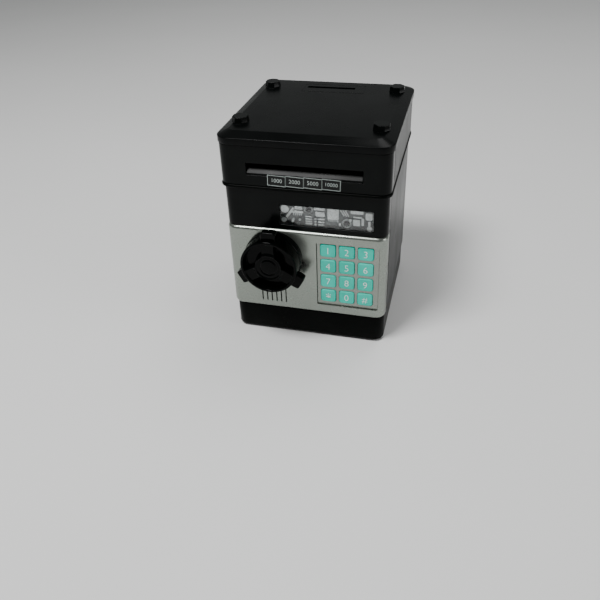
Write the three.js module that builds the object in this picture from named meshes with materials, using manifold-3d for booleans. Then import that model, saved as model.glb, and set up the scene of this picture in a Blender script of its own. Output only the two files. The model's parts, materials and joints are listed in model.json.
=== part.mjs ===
// Toy cash-machine savings bank: a free-standing plastic money box with a hinged front door,
// a combination keypad, a turning lock knob, a banknote slot with feed rollers and a coin slot.
// Millimetres, +Z up. X runs across the front, the front faces -Y.
import * as THREE from 'three';
import { mergeVertices } from 'three/addons/utils/BufferGeometryUtils.js';
import Module from 'manifold-3d';

const wasm = await Module();
wasm.setup();

// ---------------------------------------------------------------- driving dimensions
const GAP = 0.3; // clearance between neighbouring pieces
const WALL = 2.2; // moulded wall thickness
const CORNER = 8; // radius of the vertical corners

const FOOT_H = 2;
const DOOR_BOTTOM = 25;
const DOOR_TOP = 98.6;
const WAIST_Z = 131.3; // underside of the waist frame
const WAIST_H = 2.4;
const LID_Z = 165.2; // underside of the lid
const LID_TOP = 173.6;
const POST_H = 4.2;

const LID_W = 130;
const LID_CORNER = 11;
const LID_D = 138;
const UPPER_W = 127.8;
const UPPER_D = 135;
const LOWER_W = 125.4;
const LOWER_D = 132.4;
const SEAM_Y = -51; // where the front mouldings meet the side and back shells

const DOOR_W = 125.8;
const DOOR_FRONT = -67.6; // y of the door's front face
const HINGE_X = 58.4;
const HINGE_Y = -55.6;
const KNUCKLE_R = 4.5;

const KNOB_X = -24.85;
const KNOB_Z = 74.5;
const DRUM_R = 22.9;
const DRUM_DEPTH = 7;
const WHEEL_R = 22.4;
const WHEEL_DEPTH = 10.6;
const LOBE_REACH = 28.5;
const LOBE_W = 11.5;
const LOBE_DROP = 3.6; // how far the lobes' front stands behind the rim's
const KNOB_FRONT = DOOR_FRONT - DRUM_DEPTH - GAP - WHEEL_DEPTH;

const KEYPAD_X = 33.2; // centre of the keypad recess
const KEYPAD_Z = 61.7;
const KEYPAD_W = 48.8;
const KEYPAD_H = 57;
const KEY_W = 11.9;
const KEY_H = 11;
const KEY_PITCH_X = 14.6;
const KEY_PITCH_Z = 13.9;

const NIP_Y = -49; // line where a banknote is gripped between the rollers
const NIP_Z = 149.3;
const FEED_R = 6;
const PINCH_R = 4;

// ---------------------------------------------------------------- materials
const finish = (color, roughness, metalness) =>
  new THREE.MeshStandardMaterial({ color, roughness, metalness });
const gloss = () => finish(0x0b0e0d, 0.16, 0);
const satinBlack = () => finish(0x1d2020, 0.35, 0);
const silver = () => finish(0xa4a9a1, 0.4, 0.5);
const teal = () => finish(0x4fb39c, 0.45, 0);
const steel = () => finish(0xb8babc, 0.3, 1);
const rubber = () => finish(0x17181a, 0.85, 0);
const greyPlastic = () => finish(0x6d7072, 0.5, 0);

// ---------------------------------------------------------------- solid helpers
function solid(geometry) {
  const bare = geometry.clone();
  for (const name of Object.keys(bare.attributes)) {
    if (name !== 'position') bare.deleteAttribute(name);
  }
  const merged = mergeVertices(bare, 1e-4);
  return new wasm.Manifold(new wasm.Mesh({
    numProp: 3,
    vertProperties: new Float32Array(merged.attributes.position.array),
    triVerts: new Uint32Array(merged.index.array),
  }));
}

function geometryOf(body) {
  const mesh = body.getMesh();
  const geometry = new THREE.BufferGeometry();
  geometry.setAttribute('position', new THREE.BufferAttribute(mesh.vertProperties, 3));
  geometry.setIndex(new THREE.BufferAttribute(mesh.triVerts, 1));
  geometry.computeVertexNormals();
  return geometry;
}

function box(x0, x1, y0, y1, z0, z1) {
  const geometry = new THREE.BoxGeometry(x1 - x0, y1 - y0, z1 - z0);
  geometry.translate((x0 + x1) / 2, (y0 + y1) / 2, (z0 + z1) / 2);
  return solid(geometry);
}

// A cylinder along one axis, from a to b on that axis, centred on the other two coordinates.
function rod(axis, r, a, b, c1, c2, sides = 24, rEnd = r) {
  const geometry = new THREE.CylinderGeometry(rEnd, r, b - a, sides);
  const middle = (a + b) / 2;
  if (axis === 'x') {
    geometry.rotateZ(-Math.PI / 2);
    geometry.translate(middle, c1, c2);
  } else if (axis === 'y') {
    geometry.translate(c1, middle, c2);
  } else {
    geometry.rotateX(Math.PI / 2);
    geometry.translate(c1, c2, middle);
  }
  return solid(geometry);
}

function roundedRect(w, d, r) {
  const shape = new THREE.Shape();
  shape.absarc(w / 2 - r, d / 2 - r, r, 0, Math.PI / 2);
  shape.absarc(-w / 2 + r, d / 2 - r, r, Math.PI / 2, Math.PI);
  shape.absarc(-w / 2 + r, -d / 2 + r, r, Math.PI, Math.PI * 1.5);
  shape.absarc(w / 2 - r, -d / 2 + r, r, Math.PI * 1.5, Math.PI * 2);
  shape.closePath();
  return shape;
}

// A rounded rectangle in plan, standing from z0 to z1.
function block(w, d, r, z0, z1, y = 0, curveSegments = 6) {
  const geometry = new THREE.ExtrudeGeometry(roundedRect(w, d, r), {
    depth: z1 - z0, bevelEnabled: false, curveSegments,
  });
  geometry.translate(0, y, z0);
  return solid(geometry);
}

// A rounded rectangle seen from the front, centred on (x, z), between y0 and y1.
function plate(x, z, w, h, r, y0, y1, curveSegments = 4) {
  const geometry = new THREE.ExtrudeGeometry(roundedRect(w, h, r), {
    depth: y1 - y0, bevelEnabled: false, curveSegments,
  });
  geometry.rotateX(Math.PI / 2);
  geometry.translate(x, y1, z);
  return solid(geometry);
}

function ring(w, d, r, wall, z0, z1) {
  const inner = block(w - 2 * wall, d - 2 * wall, r - wall, z0 - 1, z1 + 1);
  return block(w, d, r, z0, z1).subtract(inner);
}

const bank = new THREE.Group();

function add(name, body, material) {
  const geometry = body instanceof THREE.BufferGeometry ? body : geometryOf(body);
  const mesh = new THREE.Mesh(geometry, material);
  mesh.name = name;
  bank.add(mesh);
  return mesh;
}

// ---------------------------------------------------------------- base and battery bay
const BASE_W = 123.8;
const BASE_D = 130.6;
const FLOOR = 2.4;
const BAY_W = 50;
const BAY_L = 62;
const BAY_Y = 18;
const BAY_TOP = 21;

function baseTray() {
  const top = DOOR_BOTTOM - GAP;
  const shell = block(BASE_W, BASE_D, CORNER, FOOT_H, top);
  const hollow = block(BASE_W - 2 * WALL, BASE_D - 2 * WALL, CORNER - WALL, FOOT_H + FLOOR, top + 1);
  const hatch = box(-BAY_W / 2 - 2, BAY_W / 2 + 2, BAY_Y - BAY_L / 2 - 2, BAY_Y + BAY_L / 2 + 2, 0, 6);
  const lug = box(HINGE_X - 6, HINGE_X + 2, HINGE_Y - 4, HINGE_Y + 6, top - 5, top);
  const pinHole = rod('z', 1.58, top - 6, top + 1, HINGE_X, HINGE_Y, 48);
  return shell.subtract(hollow).subtract(hatch).add(lug).subtract(pinHole);
}

function batteryBox() {
  const z0 = FOOT_H + FLOOR + GAP;
  const outer = box(-BAY_W / 2 - 5, BAY_W / 2 + 5, BAY_Y - BAY_L / 2 - 5, BAY_Y + BAY_L / 2 + 5, z0, BAY_TOP);
  const inner = box(-BAY_W / 2, BAY_W / 2, BAY_Y - BAY_L / 2, BAY_Y + BAY_L / 2, z0 - 1, BAY_TOP - 1.6);
  return outer.subtract(inner);
}

const CELL_R = 7;
const CELL_L = 50;
function cell() {
  const canTop = CELL_L - 1.4; // the small end cap stands above it
  const profile = [[0, 0], [CELL_R, 0], [CELL_R, canTop], [2.6, canTop], [2.6, CELL_L], [0, CELL_L]];
  return new THREE.LatheGeometry(profile.map(([r, h]) => new THREE.Vector2(r, h)), 16);
}

add('base_tray', baseTray(), gloss());
add('battery_box', batteryBox(), satinBlack());
for (let i = 0; i < 3; i += 1) {
  const mesh = add(`battery_cell_${i + 1}`, cell(), finish(0x3c6a4a, 0.4, 0.3));
  const flip = i % 2 === 1;
  mesh.position.set((i - 1) * 15.4, flip ? BAY_Y + CELL_L / 2 : BAY_Y - CELL_L / 2, 12);
  mesh.rotation.z = flip ? Math.PI : 0;
}
const coverW = BAY_W + 4 - 2 * GAP;
const coverL = BAY_L + 4 - 2 * GAP;
const SCREW_Y = BAY_Y - BAY_L / 2 + 1;
const coverZ0 = FOOT_H + 0.1;
const cover = box(-coverW / 2, coverW / 2, BAY_Y - coverL / 2, BAY_Y + coverL / 2, coverZ0, FOOT_H + 1.9);
add('battery_cover', cover.subtract(rod('z', 3.3, 1, 5, 0, SCREW_Y)), gloss());
const coverScrew = rod('z', 3, FOOT_H + 0.3, FOOT_H + 1.9, 0, SCREW_Y)
  .subtract(box(-2.2, 2.2, SCREW_Y - 0.4, SCREW_Y + 0.4, 0, FOOT_H + 1))
  .subtract(box(-0.4, 0.4, SCREW_Y - 2.2, SCREW_Y + 2.2, 0, FOOT_H + 1));
add('battery_cover_screw', coverScrew, steel());

for (const [side, x] of [['left', -1], ['right', 1]]) {
  for (const [end, y] of [['front', -1], ['back', 1]]) {
    add(`foot_${end}_${side}`, rod('z', 6, 0, FOOT_H - 0.1, x * 49, y * 52, 20), rubber());
  }
}

const FLOOR_W = 115.8;
const FLOOR_D = 109;
const FLOOR_Y = 6.5;
const vaultFloor = block(FLOOR_W, FLOOR_D, CORNER - 2 * WALL, DOOR_BOTTOM + 0.3, DOOR_BOTTOM + 2, FLOOR_Y);
add('vault_floor', vaultFloor, satinBlack());

// ---------------------------------------------------------------- lower housing
function lowerRearShell() {
  const z0 = DOOR_BOTTOM;
  const z1 = WAIST_Z - GAP;
  const shell = ring(LOWER_W, LOWER_D, CORNER, WALL, z0, z1);
  const rear = shell.intersect(box(-70, 70, SEAM_Y, 80, z0, z1));
  const knuckle = rod('z', KNUCKLE_R + GAP, z0 - 1, DOOR_TOP + GAP, HINGE_X, HINGE_Y, 32);
  // The catch that the lock tongue turns behind, standing off the left wall.
  const wallX = -LOWER_W / 2 + WALL;
  const catchPlate = box(wallX - 0.5, wallX + 9, SEAM_Y + 0.7, SEAM_Y + 3.1, KNOB_Z - 9, KNOB_Z + 9);
  return rear.subtract(knuckle).add(catchPlate);
}

const WINDOW_X0 = -19;
const WINDOW_X1 = 52.3;
const WINDOW_Z0 = 102.8;
const WINDOW_Z1 = 119.4;
const windowX = (WINDOW_X0 + WINDOW_X1) / 2;
const windowZ = (WINDOW_Z0 + WINDOW_Z1) / 2;
const windowW = WINDOW_X1 - WINDOW_X0;
const windowH = WINDOW_Z1 - WINDOW_Z0;
const LOWER_FRONT = -LOWER_D / 2;

function windowFascia() {
  const z0 = DOOR_TOP + GAP;
  const z1 = WAIST_Z - GAP;
  const front = ring(LOWER_W, LOWER_D, CORNER, WALL, z0, z1)
    .intersect(box(-70, 70, -80, SEAM_Y - GAP, z0, z1));
  const opening = plate(windowX, windowZ, windowW, windowH, 0.8, LOWER_FRONT - 1, LOWER_FRONT + 4);
  const lug = box(HINGE_X - 6, HINGE_X + 2.5, HINGE_Y - 8, HINGE_Y + 4, z0, z0 + 4.2);
  const pinHole = rod('z', 1.58, z0 - 1, z0 + 6, HINGE_X, HINGE_Y, 48);
  const flange = box(-58, HINGE_X - 6, LOWER_FRONT + 1, LOWER_FRONT + 6, z0, z0 + 1.8);
  return front.add(lug).add(flange).subtract(opening).subtract(pinHole);
}

add('lower_rear_shell', lowerRearShell(), gloss());
add('window_fascia', windowFascia(), gloss());

const lensY = LOWER_FRONT + 0.7;
const lens = plate(windowX, windowZ, windowW - 2 * GAP, windowH - 2 * GAP, 0.6, lensY, lensY + 1.2);
add('window_lens', lens, finish(0xe8ecec, 0.05, 0));
const PLATE_BACK = 5; // how far the relief plate's back stands behind the front face
const LED_X = [2.8, 31.8];
const LED_Z = [116.1, 107.3];
const plateBackY = LOWER_FRONT + PLATE_BACK;
const plateX0 = WINDOW_X0 - 2;
const plateX1 = HINGE_X - 6 - GAP; // beside the hinge lug
const plateW = plateX1 - plateX0;
const plateX = (plateX0 + plateX1) / 2;
let circuit = plate(plateX, windowZ, plateW, windowH + 3, 0.6, plateBackY - 1.4, plateBackY);
for (let i = 0; i < 2; i += 1) {
  circuit = circuit.subtract(rod('y', 2.5, plateBackY - 3, plateBackY + 1, LED_X[i], LED_Z[i], 20));
}
add('circuit_plate', circuit, finish(0xa9adae, 0.35, 0.6));
for (let i = 0; i < 2; i += 1) {
  const led = rod('y', 2.2, LOWER_FRONT + 2.3, plateBackY + 3.5, LED_X[i], LED_Z[i], 20);
  add(`led_${i === 0 ? 'left' : 'right'}`, led, finish(0x8c9190, 0.1, 0));
}

// ---------------------------------------------------------------- waist frame and upper housing
const WAIST_OVER = 0.8;
const DROP_W = 108; // opening that notes and coins fall through
const DROP_D = 96;
const DROP_Y = 11;
const waistW = UPPER_W + 2 * WAIST_OVER;
const waistD = UPPER_D + 2 * WAIST_OVER;
const waist = block(waistW, waistD, CORNER + WAIST_OVER, WAIST_Z, WAIST_Z + WAIST_H)
  .subtract(block(DROP_W, DROP_D, 5, WAIST_Z - 1, WAIST_Z + WAIST_H + 1, DROP_Y));
add('waist_frame', waist, gloss());

const upperZ0 = WAIST_Z + WAIST_H + GAP;
const upperZ1 = LID_Z - GAP;
const upperShell = () => ring(UPPER_W, UPPER_D, CORNER, WALL, upperZ0, upperZ1);
add('upper_rear_shell', upperShell().intersect(box(-70, 70, SEAM_Y, 80, upperZ0, upperZ1)), gloss());

const SLOT_X0 = -42.4;
const SLOT_X1 = 44;
const SLOT_Z0 = 147.1;
const SLOT_Z1 = 151.5;
const RAMP_DROP = 3.2; // how far the sloped lip falls to the front face
const UPPER_FRONT = -UPPER_D / 2;
const slotX = (SLOT_X0 + SLOT_X1) / 2;

function chuteProfile(back) {
  // Side view of the note slot: flat between the plates, flaring down to the front face.
  const shape = new THREE.Shape();
  shape.moveTo(UPPER_FRONT, SLOT_Z0 - RAMP_DROP);
  shape.lineTo(UPPER_FRONT + 3.4, SLOT_Z0);
  shape.lineTo(back, SLOT_Z0);
  shape.lineTo(back, SLOT_Z0 - 1.8);
  shape.lineTo(UPPER_FRONT + 3.4, SLOT_Z0 - 1.8);
  shape.lineTo(UPPER_FRONT, SLOT_Z0 - RAMP_DROP - 1.2);
  shape.closePath();
  return shape;
}

// Extrudes a side-view outline, drawn as (y, z), across the width from x0 to x1.
function acrossWidth(shape, x0, x1) {
  const geometry = new THREE.ExtrudeGeometry(shape, { depth: x1 - x0, bevelEnabled: false });
  geometry.rotateX(Math.PI / 2);
  geometry.rotateZ(Math.PI / 2);
  geometry.translate(x0, 0, 0);
  return solid(geometry);
}

const chuteX0 = SLOT_X0 + GAP;
const chuteX1 = SLOT_X1 - GAP;
const chute = acrossWidth(chuteProfile(NIP_Y - FEED_R - 1.5), chuteX0, chuteX1);
const slotCut = box(SLOT_X0, SLOT_X1, -80, UPPER_FRONT + 6, SLOT_Z0 - RAMP_DROP - 1.5, SLOT_Z1);
const upperFascia = upperShell()
  .intersect(box(-70, 70, -80, SEAM_Y - GAP, upperZ0, upperZ1))
  .subtract(slotCut);
add('upper_fascia', upperFascia, gloss());
add('bill_chute', chute, finish(0x2c3030, 0.3, 0));

// ---------------------------------------------------------------- lid with coin slot and four corner posts
const COIN_SLOT_X = -2.2;
const COIN_SLOT_Y = 44.6;
const COIN_SLOT_L = 40;
const COIN_SLOT_W = 4.2;
const LID_EDGE_H = 3.3; // the lid's flat sloped edge: how far it falls
const LID_EDGE_IN = 8.4; // and how far it reaches in from the rim
const POST_R = 6.6;
const POST_X = 52.5;
const POST_Y_FRONT = -42;
const POST_Y_BACK = 44;

function lidSolid() {
  const sloped = new THREE.ExtrudeGeometry(roundedRect(LID_W, LID_D, LID_CORNER), {
    depth: LID_TOP - LID_EDGE_H - LID_Z,
    bevelThickness: LID_EDGE_H,
    bevelSize: LID_EDGE_IN,
    bevelOffset: -LID_EDGE_IN,
    bevelSegments: 1,
    curveSegments: 6,
  });
  sloped.translate(0, 0, LID_Z);
  let cap = solid(sloped).intersect(box(-80, 80, -80, 80, LID_Z, LID_TOP + 1));
  const hollowTop = LID_TOP - LID_EDGE_H - 0.4;
  const hollow = block(UPPER_W - 2 * WALL - 1, UPPER_D - 2 * WALL - 1, CORNER - WALL, LID_Z - 1, hollowTop);
  const slot = box(COIN_SLOT_X - COIN_SLOT_L / 2, COIN_SLOT_X + COIN_SLOT_L / 2,
    COIN_SLOT_Y - COIN_SLOT_W / 2, COIN_SLOT_Y + COIN_SLOT_W / 2, 150, 180);
  for (const x of [-POST_X, POST_X]) {
    for (const y of [POST_Y_FRONT, POST_Y_BACK]) {
      cap = cap.add(rod('z', POST_R, LID_TOP - 1, LID_TOP + POST_H, x, y, 8, POST_R - 0.5));
    }
  }
  return cap.subtract(hollow).subtract(slot);
}
add('lid', lidSolid(), satinBlack());

// ---------------------------------------------------------------- banknote feed
const FEED_Z = NIP_Z - FEED_R;
const PINCH_Z = NIP_Z + PINCH_R + GAP;
const CHEEK_X = 47.5;
const MOTOR_X = -42;
const MOTOR_Y = NIP_Y + 26;
const MOTOR_Z = FEED_Z + 5;

function rollerBracket() {
  const bottom = WAIST_Z + WAIST_H + 0.3;
  let frame = box(-CHEEK_X - 2, CHEEK_X + 2, NIP_Y - 9, NIP_Y + 12, bottom, bottom + 1.6)
    .subtract(box(-40, 40, NIP_Y - 20, NIP_Y + 9, bottom - 1, bottom + 3));
  for (const x of [-CHEEK_X, CHEEK_X]) {
    frame = frame.add(box(x - 2, x + 2, NIP_Y - 9, NIP_Y + 9, bottom, PINCH_Z + 4));
  }
  // The cheek that the motor hangs on, with a hole for its shaft.
  const saddle = box(MOTOR_X - 2, MOTOR_X - GAP, NIP_Y + 9, MOTOR_Y + 11, bottom, MOTOR_Z + 9)
    .add(box(-CHEEK_X - 2, MOTOR_X - GAP, NIP_Y + 8, MOTOR_Y + 11, bottom, bottom + 1.6));
  return frame
    .add(saddle)
    .subtract(rod('x', 2.6, -60, 0, MOTOR_Y, MOTOR_Z, 20))
    .subtract(rod('x', 1.58, -60, 60, NIP_Y, FEED_Z, 48))
    .subtract(rod('x', 1.58, -60, 60, NIP_Y, PINCH_Z, 48));
}
add('roller_bracket', rollerBracket(), greyPlastic());

const sleeve = (r, z, x0, x1) => rod('x', r, x0, x1, NIP_Y, z, 32)
  .subtract(rod('x', 1.5 + GAP, x0 - 1, x1 + 1, NIP_Y, z, 32));
add('feed_shaft', rod('x', 1.5, -53, 50.5, NIP_Y, FEED_Z, 48), steel());
add('feed_roller_left', sleeve(FEED_R, FEED_Z, -34, -12), rubber());
add('feed_roller_right', sleeve(FEED_R, FEED_Z, 12, 34), rubber());
add('pinch_shaft', rod('x', 1.5, -50.5, 50.5, NIP_Y, PINCH_Z, 48), steel());
add('pinch_roller', sleeve(PINCH_R, PINCH_Z, -34, 34), rubber());

const PULLEY_X = -53.5;
const PULLEY_R = 7;
const MOTOR_PULLEY_R = 3;

function pulley(r, x0, x1, y, z) {
  const groove = 0.8;
  const neck = r - groove;
  const profile = [[0, 0], [r, 0], [r, 0.5], [neck, 1], [neck, 1.8], [r, 2.3], [r, 2.8], [0, 2.8]];
  const geometry = new THREE.LatheGeometry(profile.map(([a, b]) => new THREE.Vector2(a, b)), 28);
  geometry.rotateZ(-Math.PI / 2);
  geometry.translate(x0, y, z);
  return solid(geometry).add(rod('x', 1.2, x0, x1, y, z, 16));
}
const pulleyX0 = PULLEY_X - 1.4;
const feedPulley = pulley(PULLEY_R, pulleyX0, pulleyX0 + 2, NIP_Y, FEED_Z)
  .subtract(rod('x', 1.5 + GAP, -60, 0, NIP_Y, FEED_Z, 32));
add('feed_pulley', feedPulley, greyPlastic());
add('motor_pulley', pulley(MOTOR_PULLEY_R, pulleyX0, MOTOR_X + 5, MOTOR_Y, MOTOR_Z), steel());

function motorCan() {
  const can = rod('x', 10, MOTOR_X, MOTOR_X + 25, MOTOR_Y, MOTOR_Z, 28);
  const flats = box(MOTOR_X - 1, MOTOR_X + 26, MOTOR_Y - 11, MOTOR_Y + 11, MOTOR_Z - 7.6, MOTOR_Z + 7.6);
  const bore = rod('x', 1.6, -60, MOTOR_X + 6, MOTOR_Y, MOTOR_Z, 20);
  return can.intersect(flats).subtract(bore);
}
add('motor', motorCan(), steel());

// The belt runs outside both pulley grooves: two arcs joined by straight runs.
function belt() {
  const dy = MOTOR_Y - NIP_Y;
  const dz = MOTOR_Z - FEED_Z;
  const tilt = Math.atan2(dz, dy);
  const span = Math.hypot(dy, dz);
  const outline = (extra) => {
    const big = PULLEY_R - 0.8 + GAP + extra;
    const small = MOTOR_PULLEY_R - 0.8 + GAP + extra;
    const lean = Math.asin((big - small) / span);
    const shape = new THREE.Shape();
    shape.absarc(0, 0, big, Math.PI / 2 - lean, Math.PI * 1.5 + lean);
    shape.absarc(span, 0, small, -Math.PI / 2 + lean, Math.PI / 2 - lean);
    shape.closePath();
    return shape;
  };
  const options = { depth: 0.7, bevelEnabled: false, curveSegments: 12 };
  const turn = (shape) => {
    const geometry = new THREE.ExtrudeGeometry(shape, options);
    geometry.rotateZ(tilt);
    geometry.rotateX(Math.PI / 2);
    geometry.rotateZ(Math.PI / 2);
    geometry.translate(pulleyX0 + 1.05, NIP_Y, FEED_Z);
    return solid(geometry);
  };
  return turn(outline(0.7)).subtract(turn(outline(0)));
}
add('drive_belt', belt(), rubber());

// ---------------------------------------------------------------- door
const doorDepth = 12;
const doorBack = DOOR_FRONT + doorDepth;

function doorPanel() {
  const z0 = DOOR_BOTTOM;
  const z1 = DOOR_TOP;
  const yMid = DOOR_FRONT + LOWER_D / 2;
  const outer = block(DOOR_W, LOWER_D, CORNER, z0, z1, yMid);
  const inner = block(DOOR_W - 2 * WALL, LOWER_D - 2 * WALL, CORNER - WALL, z0 + 1.8, z1 - 1.8, yMid);
  let panel = outer.subtract(inner).intersect(box(-70, 70, -90, HINGE_Y, z0, z1));
  const leftReturn = ring(DOOR_W, LOWER_D, CORNER, WALL, z0, z1)
    .intersect(box(-70, -50, HINGE_Y - 5, SEAM_Y - GAP, z0, z1));
  const knuckle = rod('z', KNUCKLE_R, z0, z1, HINGE_X, HINGE_Y, 32);
  panel = panel
    .intersect(box(-70, HINGE_X + 5, -90, doorBack, z0, z1))
    .add(leftReturn)
    .add(knuckle);
  const keypadHole = plate(KEYPAD_X, KEYPAD_Z, KEYPAD_W, KEYPAD_H, 1, DOOR_FRONT - 1, DOOR_FRONT + 4);
  const shaftHole = rod('y', 5, DOOR_FRONT - 1, DOOR_FRONT + 4, KNOB_X, KNOB_Z, 24);
  panel = panel.subtract(keypadHole).subtract(shaftHole);
  for (let i = 0; i < 6; i += 1) {
    const x = KNOB_X - 12 + i * 3.95;
    panel = panel.subtract(box(x - 0.5, x + 0.5, DOOR_FRONT - 1, DOOR_FRONT + 4, 31.4, 45));
  }
  return panel.subtract(rod('z', 1.5 + GAP, z0 - 1, z1 + 1, HINGE_X, HINGE_Y, 32));
}
add('door_panel', doorPanel(), silver());

const pinLow = rod('z', 1.5, DOOR_BOTTOM - 4.5, DOOR_BOTTOM + 12, HINGE_X, HINGE_Y, 48);
add('hinge_pin_lower', pinLow, steel());
const pinHigh = rod('z', 1.5, DOOR_TOP - 12, DOOR_TOP + GAP + 4.5, HINGE_X, HINGE_Y, 48);
add('hinge_pin_upper', pinHigh, steel());

const coverBack = doorBack + 1.2;
const innerX0 = -DOOR_W / 2 + WALL + GAP;
const innerX1 = HINGE_X - KNUCKLE_R - 1;
const doorCover = box(innerX0 + 1, innerX1, doorBack - 0.9, coverBack, DOOR_BOTTOM + 2.2, DOOR_TOP - 2.2)
  .subtract(rod('y', 4.5, doorBack - 3, coverBack + 1, KNOB_X, KNOB_Z, 24));
add('door_inner_cover', doorCover, satinBlack());

// Keypad: a recessed silver plate, twelve sprung keys, a rubber mat and the circuit board.
const keypadFace = DOOR_FRONT + 1.4;
const keypadPlateW = KEYPAD_W - 2 * GAP;
const keypadPlateH = KEYPAD_H - 2 * GAP;
let keypadPlate = plate(KEYPAD_X, KEYPAD_Z, keypadPlateW, keypadPlateH, 0.8, keypadFace, keypadFace + 1.4);
const KEY_NAMES = [['1', '2', '3'], ['4', '5', '6'], ['7', '8', '9'], ['star', '0', 'hash']];
const keyCentre = (row, column) => [
  KEYPAD_X - 0.7 + (column - 1) * KEY_PITCH_X,
  KEYPAD_Z + 1.4 - (row - 1.5) * KEY_PITCH_Z,
];
for (let row = 0; row < 4; row += 1) {
  for (let column = 0; column < 3; column += 1) {
    const [x, z] = keyCentre(row, column);
    const hole = plate(x, z, KEY_W + 0.8, KEY_H + 0.8, 1.2, keypadFace - 1, keypadFace + 3, 2);
    keypadPlate = keypadPlate.subtract(hole);
    const cap = plate(x, z, KEY_W, KEY_H, 1.1, keypadFace - 1.1, keypadFace + 1.9, 2);
    const flange = box(x - KEY_W / 2 - 0.9, x + KEY_W / 2 + 0.9, keypadFace + 1.7, keypadFace + 2.7,
      z - KEY_H / 2 - 0.9, z + KEY_H / 2 + 0.9);
    add(`key_${KEY_NAMES[row][column]}`, cap.add(flange), teal());
  }
}
add('keypad_plate', keypadPlate, silver());
const matX1 = KEYPAD_X + 19.5; // the mat and the board both stop short of the hinge knuckle
const mat = box(KEYPAD_X - 23, matX1, keypadFace + 4.2, keypadFace + 5, KEYPAD_Z - 26, KEYPAD_Z + 28);
add('keypad_mat', mat, rubber());
const boardY = keypadFace + 5.3;
const board = box(KEYPAD_X - 24.5, matX1, boardY, keypadFace + 6.9, KEYPAD_Z - 28, KEYPAD_Z + 29);
add('keypad_board', board, finish(0x1f5d3a, 0.5, 0));

function speakerSolid() {
  const profile = [[0, 0], [5, 0], [5, 2.4], [13.2, 4.6], [13.2, 6], [12, 6], [4, 3.6], [0, 3.6]];
  const geometry = new THREE.LatheGeometry(profile.map(([r, h]) => new THREE.Vector2(r, h)), 24);
  geometry.rotateX(Math.PI);
  geometry.translate(KNOB_X - 2, DOOR_FRONT + 9.6, 41.2);
  return solid(geometry);
}
add('speaker', speakerSolid(), finish(0x3b3d40, 0.6, 0.4));

// ---------------------------------------------------------------- lock: drum, knob, tongue and plunger
const drum = rod('y', DRUM_R, DOOR_FRONT - DRUM_DEPTH, DOOR_FRONT - 0.1, KNOB_X, KNOB_Z, 48)
  .subtract(rod('y', 5, DOOR_FRONT - DRUM_DEPTH - 1, DOOR_FRONT + 1, KNOB_X, KNOB_Z, 24));
add('knob_drum', drum, gloss());

const SPINDLE_R = 4;
const wheelBack = DOOR_FRONT - DRUM_DEPTH - GAP;

function knobWheel() {
  let wheel = rod('y', WHEEL_R, KNOB_FRONT, wheelBack, KNOB_X, KNOB_Z, 48);
  const lobeFront = KNOB_FRONT + LOBE_DROP;
  const lobeRoot = WHEEL_R - 2;
  const lobeMiddle = (LOBE_REACH + lobeRoot) / 2;
  const lobe = () => plate(0, lobeMiddle, LOBE_W, LOBE_REACH - lobeRoot, 0.8, lobeFront, wheelBack, 2);
  const pocket = () => {
    const shape = new THREE.Shape();
    const spread = Math.PI / 3 - 0.36;
    shape.absarc(0, 0, WHEEL_R - 2.6, Math.PI / 2 - spread, Math.PI / 2 + spread);
    shape.absarc(0, 0, 11, Math.PI / 2 + spread * 0.75, Math.PI / 2 - spread * 0.75, true);
    shape.closePath();
    const geometry = new THREE.ExtrudeGeometry(shape, { depth: 8, bevelEnabled: false, curveSegments: 10 });
    geometry.rotateX(Math.PI / 2);
    geometry.translate(0, KNOB_FRONT + 7, 0);
    return solid(geometry);
  };
  for (let i = 0; i < 3; i += 1) {
    wheel = wheel.add(lobe().rotate([0, i * 120, 0]).translate([KNOB_X, 0, KNOB_Z]));
  }
  for (let i = 0; i < 3; i += 1) {
    wheel = wheel.subtract(pocket().rotate([0, i * 120 + 60, 0]).translate([KNOB_X, 0, KNOB_Z]));
  }
  const bore = rod('y', SPINDLE_R + GAP, KNOB_FRONT + 4, wheelBack + 1, KNOB_X, KNOB_Z, 24);
  return wheel.subtract(bore);
}
add('knob_wheel', knobWheel(), gloss());

const camFront = SEAM_Y + 3.6;
const CAM_R = 9;
const camBack = camFront + 2.4;
const spindle = rod('y', SPINDLE_R, KNOB_FRONT + 4.4, camFront - GAP, KNOB_X, KNOB_Z, 24);
add('knob_spindle', spindle, greyPlastic());

const PLUNGER_R = 1.4;
const TONGUE_REACH = LOWER_W / 2 + KNOB_X - WALL - 2;
function lockTongue() {
  const disc = rod('y', CAM_R, camFront, camBack, KNOB_X, KNOB_Z, 32);
  const arm = box(KNOB_X - 4, KNOB_X + 4, camFront, camBack, KNOB_Z - TONGUE_REACH, KNOB_Z);
  // Two notches, a quarter turn apart, take the plunger when the lock is open and when it is shut.
  const notch = (a) => box(-2, 2, camFront - 1, camBack + 1, -CAM_R - 1, -CAM_R + 4)
    .rotate([0, a, 0]).translate([KNOB_X, 0, KNOB_Z]);
  return disc.add(arm).subtract(notch(-90)).subtract(notch(180));
}
add('lock_tongue', lockTongue(), greyPlastic());

const plungerX0 = KNOB_X + CAM_R + 0.6;
const plungerY = (camFront + camBack) / 2;
const plunger = rod('x', PLUNGER_R, plungerX0, plungerX0 + 16, plungerY, KNOB_Z, 24)
  .add(rod('x', 2.6, plungerX0 + 3.4, plungerX0 + 4.4, plungerY, KNOB_Z, 24));
add('lock_plunger', plunger, steel());
const coilX = plungerX0 + 4.8;
const solenoid = box(coilX, coilX + 14, coverBack + GAP, camBack + 1.2, KNOB_Z - 6, KNOB_Z + 6)
  .subtract(rod('x', PLUNGER_R + 0.1, coilX - 1, coilX + 16, plungerY, KNOB_Z, 24));
add('lock_solenoid', solenoid, finish(0x8a5a2c, 0.45, 0.3));

// The origin sits under the middle of the overall box, on the surface that the feet stand on.
bank.position.y = -(KNOB_FRONT + LID_D / 2) / 2;

export default bank;
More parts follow.
